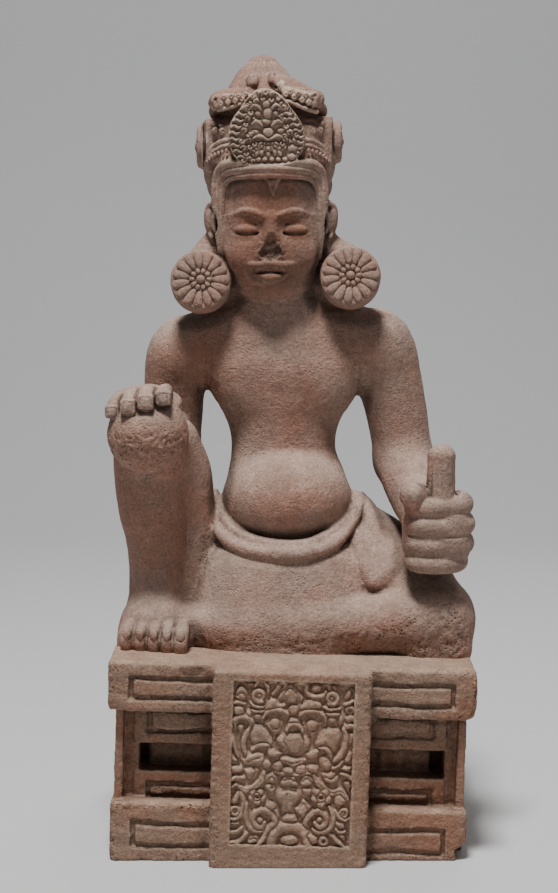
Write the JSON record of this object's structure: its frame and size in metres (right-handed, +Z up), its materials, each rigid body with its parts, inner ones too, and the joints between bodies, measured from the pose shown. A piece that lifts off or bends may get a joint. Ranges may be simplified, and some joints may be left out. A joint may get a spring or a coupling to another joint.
{
  "type": "planetary deity statue",
  "caption": "Carved sandstone deity with a tall crown, seated at royal ease on a moulded throne block with a mask panel in front.",
  "frame": {"origin": "middle of the bounding box's underside, on the flat bed that the throne stands on", "axes": "+Z up through the crown; the figure faces -Y; +X is towards the deity's left hand"},
  "size_m": [0.3974, 0.32, 0.861],
  "materials": {
    "sandstone": "weathered, matt, coarse grained"
  },
  "bodies": {
    "root": {"deity_on_throne": "sandstone"}
  },
  "joints": []
}
